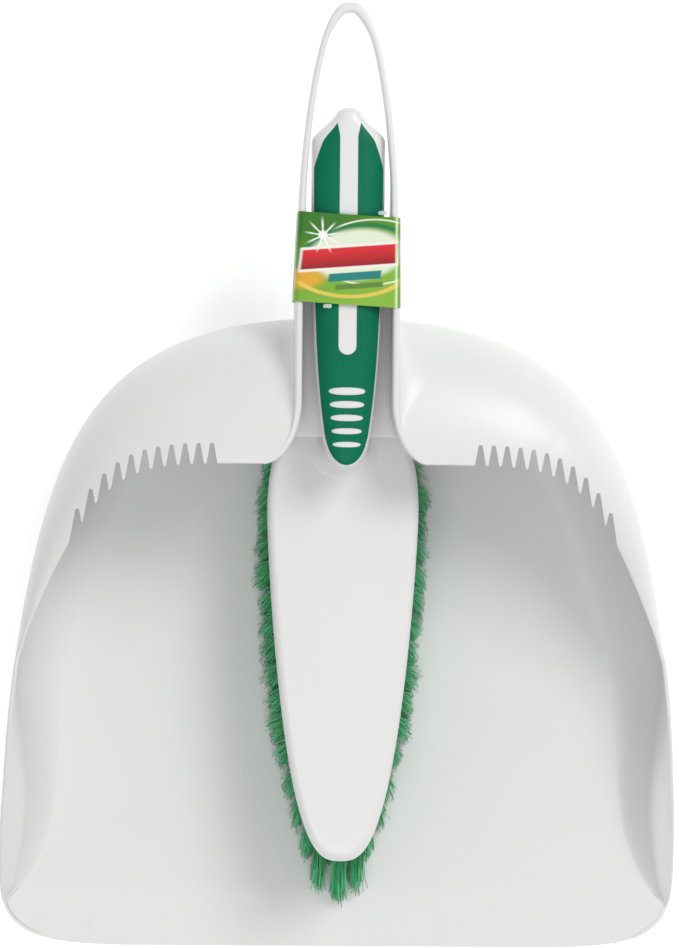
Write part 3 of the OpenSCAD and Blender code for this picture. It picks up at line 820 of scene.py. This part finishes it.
def row_hairs(k):
    """Points (tuft, filament, joint, corner, xyz): the root, plus the lean, the fan and the bow, by depth."""
    y, half, count = row_place(k)
    x = np.linspace(-half, half, count)[:, None, None]
    front = max(min((6 - k) / 5, 1), 0)
    forward = np.radians(13 + 18 * front**1.5 + front * (6 - 9 * np.abs(x / half)))
    shape = (count, HAIRS, 1)
    side = np.radians((12.5 * x / half + 1.5 * np.abs(x / half)) * (1 - front))
    angle = chance.uniform(0, 2 * np.pi, shape)
    radius = np.sqrt(chance.uniform(0, 1, shape))
    root = np.stack([radius * np.cos(angle), radius * np.sin(angle)], -1)
    clumps = chance.normal(0, 0.6, (count, 6, 2))
    pull = clumps[np.arange(count)[:, None], chance.integers(0, 6, (count, HAIRS))][:, :, None]
    fan = np.stack([2.9 + 0 * x, 3.4 + 3.4 * np.abs(x / half) ** 4], -1)
    tip = root * fan + 1.9 * pull + chance.normal(0, 0.7, (count, HAIRS, 1, 2))
    bow = chance.normal(0, 0.9, (count, HAIRS, 1, 2))
    foot = 2.9 + 5.0 * chance.uniform(0, 1, shape) ** 2.2
    t = np.linspace(0, 1, JOINTS)[None, None, :]
    down = (ROOT_Z - foot) * t
    drift = np.stack([np.tan(side) * down, -np.tan(forward) * down], -1)
    t = t[..., None]
    line = root * HOLE_R + drift + (tip - root * HOLE_R) * t**1.2 + bow * np.sin(np.pi * t) * 0.6
    line = line + np.stack([x + 0 * angle, y + 0 * angle], -1)
    spin = chance.uniform(0, np.pi / 2, (count, HAIRS, 1, 1)) + np.radians([0, 90, 180, 270])
    thin = 0.19 - 0.03 * t
    px = line[..., :1] + thin * np.cos(spin)
    py = line[..., 1:] + thin * np.sin(spin)
    points = np.stack([px, py, (ROOT_Z - down)[..., None] + 0 * px], -1)
    tint = np.broadcast_to(chance.uniform(0, 1, shape)[..., None], px.shape)
    share = np.broadcast_to(t, px.shape)
    return points, share, tint


def hair_faces(hairs):
    """Faces of every tube, with both ends closed."""
    tube = grid_faces(JOINTS, 4, ring=True)
    tube = np.concatenate([tube, [[3, 2, 1, 0]], [np.arange(4) + 4 * (JOINTS - 1)]])
    return (tube[None] + (np.arange(hairs) * 4 * JOINTS)[:, None, None]).reshape(-1, 4)[:, ::-1]


bristle_rows = []
for k in range(1, ROWS + 1):
    points, share, tint = row_hairs(k)
    mesh = bare_mesh(f"bristles_{k:02d}", points.reshape(-1, 3), hair_faces(points.shape[0] * HAIRS))
    for label, values in (("share", share), ("tint", tint)):
        layer = mesh.attributes.new(label, "FLOAT", "POINT")
        layer.data.foreach_set("value", values.astype(np.float32).ravel())
    crisp(mesh, 180)
    bristle_rows.append(piece(f"bristles_{k:02d}", mesh, "brush", "bristle_green", f"tuft_row_{k:02d}"))

# %% [markdown]
# ## The card sleeve and its tag pins
# A printed band of thin card goes once round trough and handle. Its section is a rounded rectangle with an
# outer and an inner line, and it is carried along the handle with a slight skew, since a sleeve never sits
# square. Both sides and both cut edges belong to one closed ring of points. A soft dip in the middle shows
# that the card is only held up by the trough's walls. Two clear tag pins hold it at its edges.

# %% Sleeve
CARD, SKEW, FRONT_Y, CARD_LEN, AROUND = 0.5, -0.058, 81.5, 41.5, 12
flat_x = np.linspace(-1, 1, 17)[1:-1]


def band_line(out, half):
    """Rounded rectangle (x, z) round the trough, out beyond its inner line; the corners have 8 points each."""
    r, w, z0, z1 = 2.6 + out, half + out, UNDER - 0.4 - out, TOP + 0.4 + out
    a = np.radians(np.linspace(90, 0, 8))
    right = np.c_[w - r + r * np.cos(a), z1 - r + r * np.sin(a)]
    low = np.c_[w - r + r * np.cos(-a[::-1]), z0 + r - r * np.sin(a[::-1])]
    top = np.c_[flat_x * (w - r), np.full(15, z1) - 0.35 * (1 - flat_x**2) ** 2]
    base = np.c_[-flat_x * (w - r), np.full(15, z0)]
    return np.concatenate([top, right, low, base, low[::-1] * [-1, 1], right[::-1] * [-1, 1]])


lay = np.concatenate([np.linspace(0, 1, AROUND), np.linspace(1, 0, AROUND)])
out = np.repeat([CARD, 0], AROUND)
halves = trough_x(FRONT_Y + CARD_LEN * lay) + 0.15
ring = np.stack([np.insert(band_line(o, h), 1, s, axis=1) for o, h, s in zip(out, halves, lay)], 1)
ring[..., 1] = FRONT_Y + CARD_LEN * ring[..., 1] + SKEW * ring[..., 0]
ring[..., 0] += 0.35 * (ring[..., 1] - 102) / 21
ring = np.concatenate([ring, ring[:1]])
sleeve_mesh = lofted("card_band", ring, gap=0.001)
sleeve = piece("card_band", sleeve_mesh, "sleeve", "printed_card", "card_sleeve")


# %% Tag pins
def pin_mesh(name, node):
    """A flat rounded bar, a superellipsoid of power 0.6, with a short round stub turned about its middle."""
    low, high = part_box(node)
    cx, cy = (np.array(low) + np.array(high))[:2] / 2 / MM
    z0 = low[2] / MM
    u = np.linspace(-np.pi / 2, np.pi / 2, 13)[:, None]
    v = np.linspace(0, 2 * np.pi, 24, endpoint=False)[None, :]
    wide = bend(np.cos(u), 0.6)
    bar_x, bar_y = cx + 2.0 * wide * bend(np.cos(v), 0.6), cy + 1.0 * wide * bend(np.sin(v), 0.6)
    bar = np.stack([bar_x, bar_y, z0 + 0.5 + 0.5 * bend(np.sin(u), 0.6) + 0 * v], -1)
    profile = np.array([[0, 0.2], [0.8, 0.2], [0.8, 1.3], [0.72, 1.5], [0.5, 1.6], [0, 1.6]])
    r, z = profile[:, :1], profile[:, 1:]
    stub = np.stack([cx + r * np.cos(v), cy + r * np.sin(v), z0 + z + 0 * v], -1)
    points = np.concatenate([bar.reshape(-1, 3), stub.reshape(-1, 3)])
    faces = np.concatenate([grid_faces(13, 24, ring=True), grid_faces(6, 24, ring=True, start=13 * 24)])
    return seal(bare_mesh(name, points, faces), angle=50)


pins = []
for end in ("rear", "front"):
    mesh = pin_mesh(f"tag_pin_{end}", f"tie_{end}")
    pins.append(piece(f"tag_pin_{end}", mesh, "sleeve", "clear_plastic", f"tie_{end}"))

# %% [markdown]
# ## Finishes
# The white moulding is polypropylene: glossy but not mirror-like, with a faint orange-peel ripple from the
# mould, a slow unevenness in its gloss, and fine scuffs where dust has been swept over the floor.

# %% White mouldings
def white_finish(name, tone, gloss, ripple, scuffs):
    """Polypropylene of a given tone and gloss, with an orange-peel ripple and, if asked, sweeping scuffs."""
    made = Finish(name, IOR=1.49)
    slow = made.noise(14, 2)
    fine = made.noise(900, 2)
    lines = made.noise(60, 4, (6, 0.5, 1)).step(0.56, 0.75)
    cool = tuple(c * 0.965 for c in tone)
    made.colour(made.blend(cool, tone, slow))
    made.rough(gloss + 0.07 * (slow - 0.5) + 0.05 * (fine - 0.5) + scuffs * 0.10 * lines)
    made.bump(fine * 0.6 + made.noise(130, 1) * 0.8, ripple, 0.35)
    return made


pan_white = white_finish("white_polypropylene", (0.800, 0.802, 0.797), 0.36, 0.00009, 1.0)
pan_white.put_on(*pan_pieces)
brush_white = white_finish("white_brush_moulding", (0.83, 0.83, 0.822), 0.30, 0.00003, 0.0)
brush_white.put_on(*brush_pieces)

# %% [markdown]
# The grip is a soft deep green, with painted shade in the hollows of its fine mould texture, and slightly
# rubbed on top.

# %% Green grip
rubber = Finish("soft_green_grip", IOR=1.5, Specular_IOR_Level=0.14)
grain_and_hollow_shade = rubber.noise(1500, 2)
rubbed = rubber.noise(35, 3)
# painted shade: the colour is darker where the grain's bump is low, in its hollows; the rubbed noise lightens
# it as wear
rubber.colour(rubber.blend((0.0010, 0.130, 0.060), (0.0025, 0.205, 0.105), rubbed * 0.6 + grain_and_hollow_shade * 0.4))
rubber.rough(0.40 + 0.16 * (grain_and_hollow_shade - 0.5) + 0.10 * (rubbed - 0.5))
rubber.bump(grain_and_hollow_shade, 0.00006, 0.5)
rubber.put_on(grip)

# %% [markdown]
# The bristles are a clear spring green. The roots are darker, because little light gets between them, and
# the tips are frosted by wear. Each filament differs a little from the next, by the tint it carries.

# %% Bristles and their anchors
fibre = Finish("green_bristles", Roughness=0.42, IOR=1.5, Specular_IOR_Level=0.3)
share = Value(fibre, fibre.node("Attribute", {"attribute_name": "share"}).outputs["Fac"])
tint = Value(fibre, fibre.node("Attribute", {"attribute_name": "tint"}).outputs["Fac"])
body = fibre.blend((0.012, 0.340, 0.095), (0.075, 0.780, 0.310), share.step(0.2, 0.95))
worn = fibre.blend(body, (0.420, 0.960, 0.620), (share ** 3) * (tint ** 2) * 0.95)
fibre.colour(fibre.blend(worn, (0.004, 0.160, 0.042), tint.step(0.05, 0.35) * (1 - tint.step(0.35, 0.5)) * 0.7))
fibre.put_on(*bristle_rows)

steel = Finish("anchor_wire", Metallic=1.0)
drawn = steel.noise(700, 3, (1, 1, 8))
steel.colour(steel.blend((0.42, 0.43, 0.44), (0.62, 0.62, 0.61), drawn))
steel.rough(0.28 + 0.18 * drawn)
steel.put_on(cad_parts["tuft_anchors"])

# %% [markdown]
# The card carries a plain print of its own: a green ground that turns yellower to the front, a pale oval
# crossed by a slanting red bar with a teal and a green bar below it, three thin arcs, a warm sweep in one
# corner and a small burst of light rays. The last two layers are painted light: painted shade darkens the
# side panel beyond the fold on the right, and a light line on that fold is partly a whitish crack and partly
# a painted highlight. Every shape is a distance turned into a mask with a soft step, and the layers are laid
# over one another in order. There is no lettering. Below the upper face the card is plain green.

# %% Printed card
card = Finish("printed_card", IOR=1.5)
x, y, z = card.axes()
u, w = x / 0.0246, (y - 0.10225 - SKEW * x) / 0.0208
slant = w - 0.16 * u


def oval(cu, cw, ru, rw, tilt=0.0):
    """Distance from the middle of an oval, 1 on its line."""
    du, dw = u - cu, w - cw - tilt * (u - cu)
    return ((du / ru) * (du / ru) + (dw / rw) * (dw / rw)) ** 0.5


def bar(cu, cw, ru, rw, soft):
    """1 inside a slanting bar with straight ends."""
    across, tall = abs(u - cu - 0.10 * (w - cw)), abs(slant - cw)
    return (1 - across.step(ru, ru + soft)) * (1 - tall.step(rw, rw + soft * 0.6))


def ring_line(distance, narrow, wide):
    """1 on the line of an oval, 0 off it."""
    return 1 - abs(distance - 1.0).step(narrow, wide)


yellower = (0.5 - 0.42 * w + 0.22 * u).step(0.0, 1.0)
dark_corner = 1 - oval(-1.0, 1.15, 1.3, 0.9).step(0.5, 1.2)
glow = 1 - oval(0.15, 0.12, 0.98, 0.62, 0.16).step(0.80, 1.02)
green_arc = ring_line(oval(0.20, 0.16, 1.0, 0.62, 0.16), 0.03, 0.10) * (slant - 0.2).step(0.0, 0.2)
pale_arc = ring_line(oval(0.45, 0.20, 1.05, 0.72, 0.1), 0.012, 0.035) * (u + 0.35).step(0.0, 0.3)
sweep = 1 - oval(-0.95, -0.50, 0.62, 0.26, 0.1).step(0.55, 1.1)
warm_arc = ring_line(oval(0.0, -0.10, 1.15, 0.72, 0.05), 0.03, 0.075) * (-0.3 - slant).step(0.0, 0.15)
red = card.blend((0.30, 0.006, 0.010), (0.74, 0.020, 0.030), (slant + 0.15).step(-0.1, 0.45))
du, dw = u + 0.48, w - 0.50
radius = (du * du + dw * dw * 0.75) ** 0.5
rays = abs(u.math("SINE", u.math("ARCTAN2", dw, du) * 4.5 + 0.6)) ** 9
burst = rays * (1 - radius.step(0.05, 0.50)) + (1 - radius.step(0.02, 0.14))
layers = [
    ((0.030, 0.170, 0.020), dark_corner * 0.75),
    ((0.010, 0.210, 0.070), green_arc),
    ((0.86, 0.92, 0.72), glow * 0.92),
    ((0.90, 0.95, 0.80), pale_arc * 0.9),
    ((0.80, 0.42, 0.03), sweep * 0.95),
    ((0.86, 0.62, 0.10), warm_arc * 0.9),
    ((0.92, 0.90, 0.86), bar(0.02, 0.06, 0.90, 0.255, 0.06)),
    (red, bar(0.02, 0.06, 0.86, 0.20, 0.05)),
    ((0.010, 0.230, 0.210), bar(0.12, -0.38, 0.46, 0.075, 0.05)),
    ((0.120, 0.250, 0.040), bar(0.20, -0.60, 0.42, 0.045, 0.04)),
    ((0.97, 0.98, 0.94), burst.step(0.12, 0.75)),
    # painted shade: the side panel beyond the fold on the right, x over 22.7 mm, is a darker green
    ((0.100, 0.300, 0.030), (x - 0.0227).step(0.0, 0.0005) * 0.7),
    # partly a whitish crack along the fold and partly a painted highlight: a light line at x = 22.2 mm
    ((0.80, 0.90, 0.62), (1 - abs(x - 0.0222).step(0.0002, 0.0010)) * 0.75),
]
ink = card.blend((0.060, 0.240, 0.008), (0.250, 0.500, 0.045), yellower)
for layer, mask in layers:
    ink = card.blend(ink, layer, mask)
sides = card.blend((0.085, 0.300, 0.020), (0.150, 0.380, 0.030), (y * 40 - 3.5).step(0.0, 1.0))
paper = card.noise(1200, 3, (1, 0.3, 1))
ink = card.blend(sides, ink, z.step(0.0900, 0.0915))
card.colour(card.blend(ink, (0.9, 0.92, 0.86), paper.step(0.62, 0.9) * 0.08))
card.rough(0.26 + 0.12 * paper)
card.bump(paper, 0.00003, 0.3)
card.put_on(sleeve)

clear = Finish("clear_tag_pin", Roughness=0.22, IOR=1.46, Transmission_Weight=0.45)
haze = clear.noise(400, 2)
clear.colour(clear.blend((0.86, 0.90, 0.91), (0.97, 0.98, 0.98), haze))
clear.put_on(*pins)

# %% [markdown]
# ## Stage, light and camera
# The floor is a broad, pale, matt sheet. One large soft light stands high beyond the handle on the right,
# so the hood and the brush throw soft shadows to the left. A second light before the lip and a white room
# fill them. The camera looks almost straight down through a long lens, from 3 m, leaning 2 degrees from the
# left.

# %% Stage
span = np.linspace(-3000, 3000, 9)
gx, gy = np.meshgrid(span, span, indexing="ij")
floor_points = np.stack([gx, gy, np.full(gx.shape, -0.3)], -1).reshape(-1, 3)
floor_sheet = bare_mesh("studio_floor", floor_points, grid_faces(9, 9)[:, ::-1])
floor = bpy.data.objects.new("studio_floor", floor_sheet)
bpy.context.scene.collection.objects.link(floor)
backdrop = Finish("pale_backdrop", Specular_IOR_Level=0.2, Emission_Strength=0.38)
backdrop.plug(backdrop.shader.inputs["Emission Color"], (1.0, 1.0, 1.0, 1))
backdrop.colour(backdrop.blend((0.90, 0.90, 0.90), (0.92, 0.92, 0.92), backdrop.noise(2, 2)))
backdrop.rough(0.8 + 0.05 * backdrop.noise(3, 2))
backdrop.put_on(floor)

world = bpy.data.worlds.new("white_room")
bpy.context.scene.world = world
world.use_nodes = True
world.node_tree.nodes["Background"].inputs[0].default_value = (1.0, 1.0, 1.0, 1)
world.node_tree.nodes["Background"].inputs[1].default_value = 0.44


def soft_light(name, at, power, size):
    """A square light that faces the object."""
    lamp = bpy.data.lights.new(name, "AREA")
    lamp.energy, lamp.size = power, size
    made = bpy.data.objects.new(name, lamp)
    made.location = at
    made.rotation_euler = Vector(at).to_track_quat("Z", "Y").to_euler()
    bpy.context.scene.collection.objects.link(made)
    print(name, "at", at)


soft_light("key", (1.10, 1.20, 1.90), 26, 1.0)
soft_light("fill", (-0.2, -1.0, 2.3), 17, 1.4)

# %% Camera
SENSOR, DISTANCE, LONG_SIDE = 36.0, 3.0, 0.4508
bpy.context.scene.view_settings.view_transform = "Standard"
lens = bpy.data.cameras.new("camera")
lens.type, lens.sensor_width, lens.lens = "PERSP", SENSOR, SENSOR * DISTANCE / LONG_SIDE
lens.clip_start, lens.clip_end = 0.1, 20
camera = bpy.data.objects.new("camera", lens)
bpy.context.scene.collection.objects.link(camera)
bpy.context.scene.camera = camera
aim = Vector((0, 0.0034, 0))
back = Vector((-math.sin(math.radians(2)), 0, math.cos(math.radians(2))))
tilt = Matrix.Rotation(math.radians(0.5), 3, back)
right = tilt @ Vector((0, 1, 0)).cross(back).normalized()
camera.location = aim + DISTANCE * back
camera.rotation_euler = Matrix((right, back.cross(right), back)).transposed().to_euler()
print("camera at", [round(v, 3) for v in camera.location])
